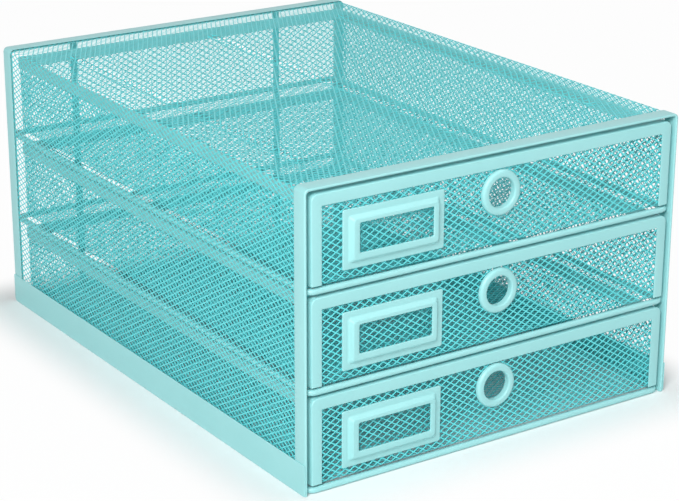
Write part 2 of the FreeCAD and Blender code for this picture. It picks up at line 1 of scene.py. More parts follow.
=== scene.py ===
"""Desktop mini drawers: fine shape and finish of every piece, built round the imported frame.

A cabinet of expanded steel holds three drawers that slide on bent steel rods. Every piece is powder
coated in one turquoise. Lengths are millimetres until a mesh is written, then metres.
"""

import logging
import math
from collections.abc import Callable, Sequence
from dataclasses import dataclass, field
from enum import Enum
from functools import partial

import bmesh
import bpy
import numpy as np
from mathutils import Matrix, Vector

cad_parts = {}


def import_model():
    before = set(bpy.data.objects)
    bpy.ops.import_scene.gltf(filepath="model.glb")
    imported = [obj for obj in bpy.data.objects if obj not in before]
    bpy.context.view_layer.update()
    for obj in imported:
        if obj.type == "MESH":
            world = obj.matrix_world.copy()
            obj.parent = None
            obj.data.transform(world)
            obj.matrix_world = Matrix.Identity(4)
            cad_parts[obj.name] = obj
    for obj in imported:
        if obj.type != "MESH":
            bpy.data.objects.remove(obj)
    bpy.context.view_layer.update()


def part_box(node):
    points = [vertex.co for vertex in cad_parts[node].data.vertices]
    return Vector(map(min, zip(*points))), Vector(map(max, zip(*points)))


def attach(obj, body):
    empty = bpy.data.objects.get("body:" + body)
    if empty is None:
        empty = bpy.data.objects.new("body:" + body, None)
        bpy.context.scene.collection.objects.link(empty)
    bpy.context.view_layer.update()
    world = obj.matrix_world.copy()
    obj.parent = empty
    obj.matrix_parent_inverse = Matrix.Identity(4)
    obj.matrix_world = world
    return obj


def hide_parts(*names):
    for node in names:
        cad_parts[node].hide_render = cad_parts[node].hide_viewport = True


LOG = logging.getLogger("mini_drawers")
MM = 0.001
IMAGE_WIDTH = 679

# Corner radius at a sheet's cut edge over its thickness: under a half, so its two corners don't meet
HEM_ROUNDING = 0.45

Pair = tuple[float, float]
Point = tuple[float, float, float]
Ring = list[Point]
Placer = Callable[[np.ndarray], np.ndarray]


class Level(Enum):
    """The three places in the cabinet, named as in the frame."""

    BOTTOM = "bottom"
    MIDDLE = "middle"
    TOP = "top"


class Side(Enum):
    """Left or right, seen from the front."""

    LEFT = -1
    RIGHT = 1


class Slot(Enum):
    """The record's material slots."""

    MESH = "expanded_mesh"
    STRIP = "folded_strip"
    ROD = "steel_rod"


# Colour and nodes


def linear(code: str) -> tuple[float, float, float, float]:
    """Turn an sRGB hex value into linear red, green, blue and alpha.

    Args:
        code: Six hex digits, with or without a leading mark.

    Returns:
        Linear red, green and blue, and an alpha of one.
    """
    digits = code.lstrip("#")
    channels = [int(digits[start:start + 2], 16) / 255 for start in (0, 2, 4)]
    low, slope, offset, power = 0.04045, 12.92, 0.055, 2.4
    red, green, blue = (value / slope if value <= low else ((value + offset) / (1 + offset)) ** power
                        for value in channels)
    return red, green, blue, 1.0


def add_node(tree: bpy.types.NodeTree, kind: str, settings: dict[str, object] | None = None,
             inputs: dict[str | int, object] | None = None) -> bpy.types.Node:
    """Add a node with its settings, input values and links.

    Args:
        tree: The node tree that gets the node.
        kind: The node's type name.
        settings: Properties of the node itself.
        inputs: Values or output sockets for its inputs, by name or index.

    Returns:
        The new node.
    """
    node = tree.nodes.new(kind)
    for name, value in (settings or {}).items():
        setattr(node, name, value)
    for name, value in (inputs or {}).items():
        if isinstance(value, bpy.types.NodeSocket):
            tree.links.new(value, node.inputs[name])
        else:
            node.inputs[name].default_value = value
    return node


def bare_tree(owner: bpy.types.Material | bpy.types.World) -> bpy.types.NodeTree:
    """Turn on the nodes of a material or a world, without the default ones.

    Args:
        owner: The material or world.

    Returns:
        Its empty node tree.
    """
    owner.use_nodes = True
    owner.node_tree.nodes.clear()
    return owner.node_tree


# Finishes


@dataclass(frozen=True)
class PowderCoat:
    """Polyester powder coat, baked on steel.

    It gives the eye one pale turquoise with a satin sheen, whose highlights are broken up by a
    faint orange peel and whose tint drifts a little over a few centimetres.
    """

    name: str
    deep: str = "#95D4D5"
    pale: str = "#A2DADB"
    roughness: float = 0.4
    roughness_spread: float = 0.08
    cloud_mm: float = 38.0
    peel_mm: float = 1.1
    peel_height_mm: float = 0.02
    peel_strength: float = 0.35
    sheen_level: float = 0.4
    coat_weight: float = 0.12
    coat_roughness: float = 0.22

    def build(self) -> bpy.types.Material:
        """Make the material.

        Returns:
            The finished material.
        """
        material = bpy.data.materials.new(self.name)
        tree = bare_tree(material)
        place = add_node(tree, "ShaderNodeTexCoord").outputs["Object"]
        # The powder lands a little thicker in places, which shifts the tint over a few centimetres
        cloud = add_node(tree, "ShaderNodeTexNoise", inputs={
            "Vector": place, "Scale": 1 / (self.cloud_mm * MM), "Detail": 3.0, "Roughness": 0.55})
        tint = add_node(tree, "ShaderNodeMix", {"data_type": "RGBA"}, {
            "Factor": cloud.outputs["Fac"], "A": linear(self.deep), "B": linear(self.pale)})
        # Orange peel: the melted powder flows into low bumps about a millimetre across
        peel = add_node(tree, "ShaderNodeTexNoise", inputs={
            "Vector": place, "Scale": 1 / (self.peel_mm * MM), "Detail": 2.0, "Roughness": 0.5})
        bump = add_node(tree, "ShaderNodeBump", inputs={
            "Strength": self.peel_strength, "Distance": self.peel_height_mm * MM,
            "Height": peel.outputs["Fac"]})
        gloss = add_node(tree, "ShaderNodeMapRange", inputs={
            "Value": cloud.outputs["Fac"], "To Min": self.roughness - self.roughness_spread / 2,
            "To Max": self.roughness + self.roughness_spread / 2})
        shader = add_node(tree, "ShaderNodeBsdfPrincipled", inputs={
            "Base Color": tint.outputs["Result"], "Roughness": gloss.outputs["Result"],
            "Normal": bump.outputs["Normal"], "Specular IOR Level": self.sheen_level,
            "Coat Weight": self.coat_weight, "Coat Roughness": self.coat_roughness})
        add_node(tree, "ShaderNodeOutputMaterial", inputs={"Surface": shader.outputs["BSDF"]})
        return material


@dataclass(frozen=True)
class StudioFloor:
    """Matt white paper sweep.

    It gives the eye a white ground that runs into the background, glowing white where it is seen or
    mirrored. Painted shade: inside the cabinet's footprint that glow is taken away, so the paper under the
    drawers shows darker, lit only by the lamps.
    """

    name: str = "matt_white_paper"
    colour: str = "#F4F6F6"
    own_light_share: float = 0.97
    painted_shade_half_width: float = 128.0
    painted_shade_half_depth: float = 176.0
    fade: float = 45.0
    grain_mm: float = 4.0
    grain_height_mm: float = 0.05
    grain_strength: float = 0.05

    def build(self) -> bpy.types.Material:
        """Make the material.

        Returns:
            The finished material.
        """
        material = bpy.data.materials.new(self.name)
        tree = bare_tree(material)
        place = add_node(tree, "ShaderNodeTexCoord").outputs["Object"]
        grain = add_node(tree, "ShaderNodeTexNoise", inputs={
            "Vector": place, "Scale": 1 / (self.grain_mm * MM)})
        bump = add_node(tree, "ShaderNodeBump", inputs={
            "Strength": self.grain_strength, "Distance": self.grain_height_mm * MM,
            "Height": grain.outputs["Fac"]})
        paper = add_node(tree, "ShaderNodeBsdfDiffuse", inputs={
            "Color": linear(self.colour), "Normal": bump.outputs["Normal"]})
        glow = add_node(tree, "ShaderNodeEmission", inputs={"Color": (1, 1, 1, 1), "Strength": 1.0})
        seen = add_node(tree, "ShaderNodeLightPath")
        either = add_node(tree, "ShaderNodeMath", {"operation": "MAXIMUM"}, {
            0: seen.outputs["Is Camera Ray"], 1: seen.outputs["Is Glossy Ray"]})
        # Painted shade: how far a place lies outside the cabinet's footprint; there the paper's own glow
        # fades in, and inside the footprint the paper shows darker
        half_footprint = (self.painted_shade_half_width * MM, self.painted_shade_half_depth * MM, 0.0)
        folded = add_node(tree, "ShaderNodeVectorMath", {"operation": "ABSOLUTE"}, {0: place})
        beyond = add_node(tree, "ShaderNodeVectorMath", {"operation": "SUBTRACT"}, {
            0: folded.outputs[0], 1: half_footprint})
        outside = add_node(tree, "ShaderNodeVectorMath", {"operation": "MAXIMUM"}, {
            0: beyond.outputs[0], 1: (0.0, 0.0, 0.0)})
        distance = add_node(tree, "ShaderNodeVectorMath", {"operation": "LENGTH"}, {0: outside.outputs[0]})
        # Painted shade: the glow's share is zero inside the footprint and rises to its full value at the
        # fade's distance
        faded_in = add_node(tree, "ShaderNodeMapRange", {"interpolation_type": "SMOOTHSTEP"}, {
            "Value": distance.outputs["Value"], "From Max": self.fade * MM, "To Max": self.own_light_share})
        share = add_node(tree, "ShaderNodeMath", {"operation": "MULTIPLY"}, {
            0: either.outputs[0], 1: faded_in.outputs["Result"]})
        mixed = add_node(tree, "ShaderNodeMixShader", inputs={
            0: share.outputs[0], 1: paper.outputs["BSDF"], 2: glow.outputs["Emission"]})
        add_node(tree, "ShaderNodeOutputMaterial", inputs={"Surface": mixed.outputs["Shader"]})
        return material


# Shapes


@dataclass(frozen=True)
class Envelope:
    """Lowest and highest corner of one CAD node, in millimetres."""

    low: Vector
    high: Vector

    @classmethod
    def of(cls, node: str) -> "Envelope":
        """Measure a node of the frame.

        Args:
            node: The CAD node's name.

        Returns:
            Its envelope.
        """
        low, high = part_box(node)
        return cls(low / MM, high / MM)


def fillet(corner: Pair, before: Pair, after: Pair, radius: float, steps: int) -> list[Pair]:
    """Round one corner of an outline.

    Args:
        corner: The sharp corner.
        before: The outline's point before it.
        after: The outline's point after it.
        radius: Radius of the rounding.
        steps: Number of straight pieces in the arc.

    Returns:
        Points along the arc, from the side of before to the side of after.
    """
    tip = Vector(corner)
    one = (Vector(before) - tip).normalized()
    two = (Vector(after) - tip).normalized()
    half = one.angle(two) / 2
    centre = tip + (one + two).normalized() * (radius / math.sin(half))
    first = tip + one * (radius / math.tan(half)) - centre
    swing = math.pi - 2 * half
    turn = math.copysign(1.0, first.x * (tip - centre).y - first.y * (tip - centre).x)
    points = []
    for step in range(steps + 1):
        angle = turn * swing * step / steps
        cos, sin = math.cos(angle), math.sin(angle)
        points.append((centre.x + first.x * cos - first.y * sin, centre.y + first.x * sin + first.y * cos))
    return points


def rounded(corners: Sequence[tuple[float, ...]], steps: int = 4) -> list[Pair]:
    """Outline with rounded corners.

    Args:
        corners: Each (u, v) or (u, v, radius), in order round the outline.
        steps: Number of straight pieces in each arc.

    Returns:
        Points of the closed outline.
    """
    points = []
    for index, corner in enumerate(corners):
        if len(corner) == 2:
            points.append((corner[0], corner[1]))
            continue
        before, after = corners[index - 1], corners[(index + 1) % len(corners)]
        points += fillet(corner[:2], before[:2], after[:2], corner[2], steps)
    return points


def rounded_rectangle(low: Pair, high: Pair, radius: float, steps: int) -> list[Pair]:
    """Outline of a rectangle with rounded corners.

    Args:
        low: Its lowest corner.
        high: Its highest corner.
        radius: Radius of all four corners.
        steps: Number of straight pieces in each arc.

    Returns:
        Points of the closed outline.
    """
    (left, foot), (right, top) = low, high
    corners = ((left, foot), (right, foot), (right, top), (left, top))
    return rounded([(*corner, radius) for corner in corners], steps)


def loft(rings: Sequence[Ring], endless: bool = False) -> tuple[list[Point], list[tuple[int, ...]]]:
    """Skin a row of rings that all have the same number of points.

    Args:
        rings: Closed rings of points.
        endless: Join the last ring to the first instead of closing both ends with caps.

    Returns:
        Points and faces.
    """
    count = len(rings[0])
    points = [point for ring in rings for point in ring]
    faces: list[tuple[int, ...]] = []
    pairs = len(rings) if endless else len(rings) - 1
    for index in range(pairs):
        here, there = index * count, (index + 1) % len(rings) * count
        faces += [(here + step, here + (step + 1) % count, there + (step + 1) % count, there + step)
                  for step in range(count)]
    if not endless:
        faces.append(tuple(range(count)))
        faces.append(tuple((len(rings) - 1) * count + step for step in range(count)))
    return points, faces


def solid(name: str, points: Sequence[Point], faces: Sequence[tuple[int, ...]],
          material: bpy.types.Material, smooth_angle: float = 38.0) -> bpy.types.Object:
    """Make a piece from points and faces, with its faces pointing outwards.

    Args:
        name: Name of the new object.
        points: Points in millimetres.
        faces: Faces as indices into points.
        material: The piece's finish.
        smooth_angle: Edges sharper than this, in degrees, stay crisp.

    Returns:
        The new object.
    """
    mesh = bpy.data.meshes.new(name)
    mesh.from_pydata([tuple(axis * MM for axis in point) for point in points], [], list(faces))
    work = bmesh.new()
    work.from_mesh(mesh)
    weld_gap = 0.001
    bmesh.ops.remove_doubles(work, verts=work.verts, dist=weld_gap * MM)
    bmesh.ops.recalc_face_normals(work, faces=work.faces)
    work.to_mesh(mesh)
    work.free()
    mesh.shade_smooth()
    mesh.set_sharp_from_angle(angle=math.radians(smooth_angle))
    mesh.materials.append(material)
    piece = bpy.data.objects.new(name, mesh)
    bpy.context.scene.collection.objects.link(piece)
    return piece


def bevelled_bar(name: str, low: Vector, high: Vector, bevel: float,
                 material: bpy.types.Material) -> bpy.types.Object:
    """Flat bar with rounded edges between two corners.

    Args:
        name: Name of the new object.
        low: Lowest corner, in millimetres.
        high: Highest corner, in millimetres.
        bevel: Radius of its edges.
        material: The bar's finish.

    Returns:
        The new object.
    """
    arc_steps = 3
    levels = (low.z, low.z + bevel, high.z - bevel, high.z)
    insets = (bevel, 0.0, 0.0, bevel)
    rings = []
    for level, inset in zip(levels, insets):
        outline = rounded_rectangle((low.x + inset, low.y + inset), (high.x - inset, high.y - inset),
                                    bevel, arc_steps)
        rings.append([(across, along, level) for across, along in outline])
    return solid(name, *loft(rings), material)


@dataclass
class Arch:
    """Path up one leg, over the top and down the other, along which a strip's section is swept.

    The section is given by how far it lies inside the outer edge, and by its depth.
    """

    half: float
    top: float
    foot: float
    radius: float
    leg_scale: float = 1.0
    mitre_gap: float = 0.0
    corner_steps: int = 6

    def stations(self) -> list[Callable[[float], Pair]]:
        """Places along the path.

        Returns:
            Functions that give (u, v) on the path for a distance inside the outer edge.
        """
        steps = [self._leg(Side.LEFT)]
        steps += [self._corner(Side.LEFT, step) for step in range(self.corner_steps + 1)]
        steps += [self._corner(Side.RIGHT, step) for step in reversed(range(self.corner_steps + 1))]
        steps.append(self._leg(Side.RIGHT))
        return steps

    def _leg(self, side: Side) -> Callable[[float], Pair]:
        """Foot of one leg, for a distance inside the outer edge."""
        return lambda inset: (side.value * (self.half - inset * self.leg_scale), self.foot)

    def _corner(self, side: Side, step: int) -> Callable[[float], Pair]:
        """One place on the way round a corner; inside its radius the corner becomes a mitre.

        Args:
            side: Which leg the corner stands on.
            step: How far round the corner it is, in corner steps.

        Returns:
            Function that gives (u, v) there for a distance inside the outer edge.
        """
        angle = math.pi / 2 * step / self.corner_steps

        def place(inset: float) -> Pair:
            """Point on the corner.

            Args:
                inset: Distance inside the outer edge.

            Returns:
                Its u and v.
            """
            bend = max(self.radius - inset, 0.0)
            beyond = max(inset - self.radius, 0.0)
            centre_u = self.half - self.radius - beyond * self.leg_scale
            centre_v = self.top - self.radius - beyond
            spread = self.mitre_gap * (step - self.corner_steps / 2) / self.corner_steps
            across = centre_u + bend * math.cos(angle) - spread
            upward = centre_v + bend * math.sin(angle) + spread
            return side.value * across, upward

        return place


def sweep(arch: Arch, section: Sequence[Pair],
          place: Callable[[float, float, float], Point]) -> list[Ring]:
    """Rings of a strip whose section follows an arch.

    Args:
        arch: The path.
        section: Closed section: distance inside the arch's outer edge, and depth.
        place: Turns (u, v, depth) into a point of the frame.

    Returns:
        One ring for each station of the arch.
    """
    return [[place(*station(inset), depth) for inset, depth in section] for station in arch.stations()]


# Expanded steel


@dataclass
class ExpandedSteel:
    """Sheet slit and stretched into diamonds, made by one Geometry Nodes tree.

    The tree lays one diamond ring at every place of a staggered grid. A ring's outer edge is the
    ridge of its four strands, which slope down to the opening on both faces.
    """

    material: bpy.types.Material
    gauge: float = 0.34
    strand: float = 0.66
    ridge: float = 0.09
    tree: bpy.types.NodeTree = field(init=False)
    sockets: dict[str, str] = field(init=False)

    def __post_init__(self) -> None:
        """Build the tree that all the sheets share."""
        self.tree = bpy.data.node_groups.new("expanded_steel", "GeometryNodeTree")
        face = self.tree.interface
        face.new_socket("Geometry", in_out="OUTPUT", socket_type="NodeSocketGeometry")
        kinds = {"Columns": "NodeSocketInt", "Rows": "NodeSocketInt", "Long pitch": "NodeSocketFloat",
                 "Short pitch": "NodeSocketFloat", "Opening share": "NodeSocketFloat",
                 "Gauge": "NodeSocketFloat", "Ridge": "NodeSocketFloat", "Finish": "NodeSocketMaterial"}
        self.sockets = {name: face.new_socket(name, in_out="INPUT", socket_type=kind).identifier
                        for name, kind in kinds.items()}
        self._wire()

    def _wire(self) -> None:
        """Add and link the tree's nodes."""
        tree = self.tree
        given = add_node(tree, "NodeGroupInput").outputs
        known: dict[object, object] = {name: given[name] for name in self.sockets}
        for name, operation, one, two in (
                ("half long", "DIVIDE", "Long pitch", 2.0), ("half short", "DIVIDE", "Short pitch", 2.0),
                ("top", "DIVIDE", "Gauge", 2.0), ("shoulder", "SUBTRACT", "top", "Ridge"),
                ("shoulder below", "MULTIPLY", "shoulder", -1.0), ("top below", "MULTIPLY", "top", -1.0),
                ("back out", "DIVIDE", 1.0, "Opening share"),
                ("gaps across", "SUBTRACT", "Columns", 1.0), ("gaps along", "SUBTRACT", "Rows", 1.0),
                ("span across", "MULTIPLY", "gaps across", "Long pitch"),
                ("span along", "MULTIPLY", "gaps along", "Short pitch"),
                ("middle across", "DIVIDE", "span across", 2.0),
                ("middle along", "DIVIDE", "span along", 2.0),
                ("next across", "ADD", "middle across", "half long"),
                ("next along", "ADD", "middle along", "half short")):
            known[name] = add_node(tree, "ShaderNodeMath", {"operation": operation}, {
                0: known.get(one, one), 1: known.get(two, two)}).outputs[0]
        # One diamond, as large as its place in the grid, at the height of the upper ridge
        diamond = add_node(tree, "GeometryNodeMeshCircle", {"fill_type": "NGON"}, {
            "Vertices": 4, "Radius": 1.0})
        size = add_node(tree, "ShaderNodeCombineXYZ", inputs={
            "X": known["half long"], "Y": known["half short"], "Z": 1.0})
        lift = add_node(tree, "ShaderNodeCombineXYZ", inputs={"Z": known["top"]})
        shape = add_node(tree, "GeometryNodeTransform", inputs={
            "Geometry": diamond.outputs[0], "Translation": lift.outputs[0],
            "Scale": size.outputs[0]}).outputs[0]
        # Inwards and down to the opening, through the sheet, then outwards on the other face
        here = add_node(tree, "GeometryNodeInputPosition").outputs[0]
        chosen: object = True
        for factor, height in (("Opening share", "shoulder"), (1.0, "shoulder below"),
                               ("back out", "top below")):
            step = add_node(tree, "GeometryNodeExtrudeMesh", {"mode": "FACES"}, {
                "Mesh": shape, "Selection": chosen, "Offset Scale": 0.0, "Individual": False})
            chosen = step.outputs["Top"]
            scale = add_node(tree, "ShaderNodeCombineXYZ", inputs={
                "X": known.get(factor, factor), "Y": known.get(factor, factor)})
            level = add_node(tree, "ShaderNodeCombineXYZ", inputs={"Z": known[height]})
            there = add_node(tree, "ShaderNodeVectorMath", {"operation": "MULTIPLY_ADD"}, {
                0: here, 1: scale.outputs[0], 2: level.outputs[0]})
            shape = add_node(tree, "GeometryNodeSetPosition", inputs={
                "Geometry": step.outputs["Mesh"], "Selection": chosen,
                "Position": there.outputs[0]}).outputs[0]
        ring = add_node(tree, "GeometryNodeDeleteGeometry", {"domain": "FACE"}, {
            "Geometry": shape, "Selection": chosen}).outputs[0]
        # Two square grids of places, the second shifted by half a diamond both ways
        both = add_node(tree, "GeometryNodeJoinGeometry")
        for across, along in (("middle across", "middle along"), ("next across", "next along")):
            grid = add_node(tree, "GeometryNodeMeshGrid", inputs={
                "Size X": known["span across"], "Size Y": known["span along"],
                "Vertices X": given["Columns"], "Vertices Y": given["Rows"]})
            start = add_node(tree, "ShaderNodeCombineXYZ", inputs={"X": known[across], "Y": known[along]})
            moved = add_node(tree, "GeometryNodeTransform", inputs={
                "Geometry": grid.outputs[0], "Translation": start.outputs[0]})
            tree.links.new(moved.outputs[0], both.inputs[0])
        placed = add_node(tree, "GeometryNodeInstanceOnPoints", inputs={
            "Points": both.outputs[0], "Instance": ring})
        real = add_node(tree, "GeometryNodeRealizeInstances", inputs={"Geometry": placed.outputs[0]})
        weld_gap = 0.01
        welded = add_node(tree, "GeometryNodeMergeByDistance",
                          inputs={"Geometry": real.outputs[0], "Distance": weld_gap})
        dressed = add_node(tree, "GeometryNodeSetMaterial",
                           inputs={"Geometry": welded.outputs[0], "Material": given["Finish"]})
        add_node(tree, "NodeGroupOutput", inputs={"Geometry": dressed.outputs[0]})

    def sheet(self, name: str, lattice: "Lattice", patch: "Patch", limits: "Limits",
              place: Placer) -> bpy.types.Object:
        """Cut one sheet from the lattice and bend it into place.

        Args:
            name: Name of the new object.
            lattice: The diamonds' pitches.
            patch: The run of columns and rows to lay.
            limits: Where the sheet is cut off.
            place: Turns rows of (u, v, w) on the flat sheet into points of the frame.

        Returns:
            The new object.
        """
        host = bpy.data.objects.new(name, bpy.data.meshes.new(name))
        bpy.context.scene.collection.objects.link(host)
        grower = host.modifiers.new("expand", "NODES")
        grower.node_group = self.tree
        values = {"Columns": patch.columns // 2, "Rows": patch.rows // 2, "Long pitch": lattice.long,
                  "Short pitch": lattice.short, "Opening share": lattice.opening_share(self.strand),
                  "Gauge": self.gauge, "Ridge": self.ridge, "Finish": self.material}
        for socket, value in values.items():
            grower[self.sockets[socket]] = value
        host.update_tag()
        ready = host.evaluated_get(bpy.context.evaluated_depsgraph_get())
        mesh = bpy.data.meshes.new_from_object(ready)
        host.modifiers.remove(grower)
        host.data = mesh
        mesh.name = name
        flat = np.empty(len(mesh.vertices) * 3, np.float32)
        mesh.vertices.foreach_get("co", flat)
        flat = flat.reshape(-1, 3).astype(float)
        flat[:, 0] += patch.first_column * lattice.long / 2
        flat[:, 1] += patch.first_row * lattice.short / 2
        gone = limits.in_hole(flat)
        flat = limits.trim(flat)
        mesh.vertices.foreach_set("co", (place(flat) * MM).astype(np.float32).ravel())
        self._drop_cut_faces(mesh, gone)
        return host

    @staticmethod
    def _drop_cut_faces(mesh: bpy.types.Mesh, gone: np.ndarray) -> None:
        """Remove the faces inside the hole and those pressed flat where the sheet is cut.

        Args:
            mesh: The sheet's mesh, which is changed.
            gone: Which of its points lie inside the hole.
        """
        least_area = 1e-3 * MM * MM
        work = bmesh.new()
        work.from_mesh(mesh)
        cut_faces = [face for face in work.faces
                     if face.calc_area() < least_area or all(gone[corner.index] for corner in face.verts)]
        bmesh.ops.delete(work, geom=cut_faces, context="FACES")
        work.to_mesh(mesh)
        work.free()
        mesh.update()


@dataclass(frozen=True)
class Lattice:
    """Pitches of the diamonds, along their long and short diagonals."""

    long: float
    short: float

    def opening_share(self, strand: float) -> float:
        """Size of the opening over the size of the diamond.

        Args:
            strand: Width of a strand.

        Returns:
            The share, the same along both diagonals.
        """
        half_height = self.long * self.short / (2 * math.hypot(self.long, self.short))
        return 1 - strand / 2 / half_height


@dataclass(frozen=True)
class Patch:
    """Run of half-pitch columns and rows of a lattice; a diamond sits where their sum is even."""

    first_column: int
    columns: int
    first_row: int
    rows: int

    def __post_init__(self) -> None:
        """Check that the run starts on a diamond and has whole pairs."""
        if (self.first_column + self.first_row) % 2 or self.columns % 2 or self.rows % 2:
            raise ValueError("a patch starts on a diamond and has even counts")


@dataclass(frozen=True)
class Limits:
    """Where a flat sheet is cut off: its four edges, and a round hole if it has one."""

    low: Pair
    high: Pair
    hole_centre: Pair = (0.0, 0.0)
    hole_radius: float = 0.0

    def in_hole(self, flat: np.ndarray) -> np.ndarray:
        """Tell which points lie inside the hole, as a row of truth values."""
        return np.linalg.norm(flat[:, :2] - np.array(self.hole_centre), axis=1) < self.hole_radius

    def trim(self, flat: np.ndarray) -> np.ndarray:
        """Pull every point that lies outside the sheet onto its edge.

        Args:
            flat: Rows of (u, v, w) on the flat sheet.

        Returns:
            The same rows, cut off.
        """
        least_distance = 1e-6
        cut = flat.copy()
        cut[:, :2] = np.clip(cut[:, :2], self.low, self.high)
        if self.hole_radius:
            away = cut[:, :2] - np.array(self.hole_centre)
            distance = np.linalg.norm(away, axis=1)
            inside = distance < self.hole_radius
            push = self.hole_radius / np.maximum(distance[inside], least_distance)
            cut[inside, :2] = np.array(self.hole_centre) + away[inside] * push[:, None]
        return cut


def bend(run: np.ndarray, lift: np.ndarray, flat_end: float,
         radius: float) -> tuple[np.ndarray, np.ndarray]:
    """Bend the end of a strip up through a quarter turn.

    Args:
        run: Distance along the strip's middle surface.
        lift: Height above the middle surface.
        flat_end: Where the bend begins.
        radius: Radius of the middle surface in the bend.

    Returns:
        How far along and how high each point lies.
    """
    past = run - flat_end
    angle = np.clip(past / radius, 0.0, math.pi / 2)
    rise = np.maximum(past - radius * math.pi / 2, 0.0)
    along = np.minimum(run, flat_end) + radius * np.sin(angle) - lift * np.sin(angle)
    height = radius * (1 - np.cos(angle)) + rise + lift * np.cos(angle)
    return along, height


# Sub-assemblies


@dataclass
class Workshop:
    """The finishes and the mesh maker that the sub-assemblies share."""

    strip: bpy.types.Material
    rod: bpy.types.Material
    expanded: ExpandedSteel

    def fit(self, piece: bpy.types.Object, body: str, slot: Slot, *nodes: str) -> None:
        """Fix a piece to its body in place of the CAD nodes that it stands for.

        Args:
            piece: The finished piece.
            body: The CAD body that it moves with.
            slot: The record's slot for its finish; not used.
            nodes: The CAD nodes that it replaces.
        """
        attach(piece, body)
        if nodes:
            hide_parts(*nodes)
        LOG.info("%s: %d faces", piece.name, len(piece.data.polygons))


@dataclass
class Shell:
    """Expanded sheet over the left side, the top and the right side, with three pressed grooves."""

    workshop: Workshop
    lattice: Lattice = Lattice(6.07, 3.42)
    body: str = "cabinet"
    bend_radius: float = 2.4
    side_rows: int = 96
    top_rows: int = 154
    half_columns: int = 58
    groove_offset: float = 101.0
    groove_half_width: float = 3.5
    groove_slope: float = 1.6
    groove_depth: float = 1.5
    groove_margin: float = 42.0

    def __post_init__(self) -> None:
        """Read the shell's places from the frame."""
        side = Envelope.of("right_side_mesh")
        gauge = side.high.x - side.low.x
        self.half = side.high.x - gauge / 2
        self.foot = side.low.z
        self.height = Envelope.of("top_mesh").high.z - gauge / 2 - self.foot
        self.front = side.low.y
        self.depth = side.high.y - side.low.y
        sides_and_bends = 2 * (self.height - self.bend_radius) + math.pi * self.bend_radius
        self.length = sides_and_bends + 2 * (self.half - self.bend_radius)

    def build(self) -> None:
        """Make the three sheets; the top one is laid in a front and a rear half."""
        limits = Limits((0.0, 0.0), (self.depth, self.length))
        middle, columns = self.half_columns, 2 * self.half_columns
        right_row = self.side_rows + self.top_rows
        crown = ("top_mesh", "left_shoulder_mesh", "right_shoulder_mesh")
        runs = {
            "left_side_sheet": (Patch(0, columns, 0, self.side_rows), ("left_side_mesh",)),
            "top_sheet_front": (Patch(0, middle, self.side_rows, self.top_rows), crown),
            "top_sheet_rear": (Patch(middle, middle, self.side_rows, self.top_rows), crown),
            "right_side_sheet": (Patch(0, columns, right_row, self.side_rows), ("right_side_mesh",)),
        }
        for name, (patch, nodes) in runs.items():
            sheet = self.workshop.expanded.sheet(name, self.lattice, patch, limits, self.place)
            self.workshop.fit(sheet, self.body, Slot.MESH, *nodes)

    def place(self, flat: np.ndarray) -> np.ndarray:
        """Wrap the flat sheet round the cabinet.

        Args:
            flat: Rows of depth, distance round the shell from the left foot, and height off the sheet.

        Returns:
            Rows of x, y and z.
        """
        middle = self.length / 2
        run = flat[:, 1] - middle
        across, drop = bend(np.abs(run), flat[:, 2], self.half - self.bend_radius, self.bend_radius)
        depth = flat[:, 0]
        pressed = self.groove(across * np.sign(run), depth)
        top = self.foot + self.height
        return np.column_stack((across * np.sign(run), self.front + depth, top - drop - pressed))

    def groove(self, across: np.ndarray, depth: np.ndarray) -> np.ndarray:
        """How far the grooves press the top down.

        Args:
            across: Places across the top.
            depth: Places behind the front edge.

        Returns:
            The depth of the groove at each place.
        """
        inset = np.full_like(across, -np.inf)
        for number in (-1, 0, 1):
            inset = np.maximum(inset, self.groove_half_width - np.abs(across - number * self.groove_offset))
        from_end = np.minimum(depth, self.depth - depth) - self.groove_margin
        share = np.clip(np.minimum(inset, from_end) / self.groove_slope, 0.0, 1.0)
        return self.groove_depth * share * share * (3 - 2 * share)


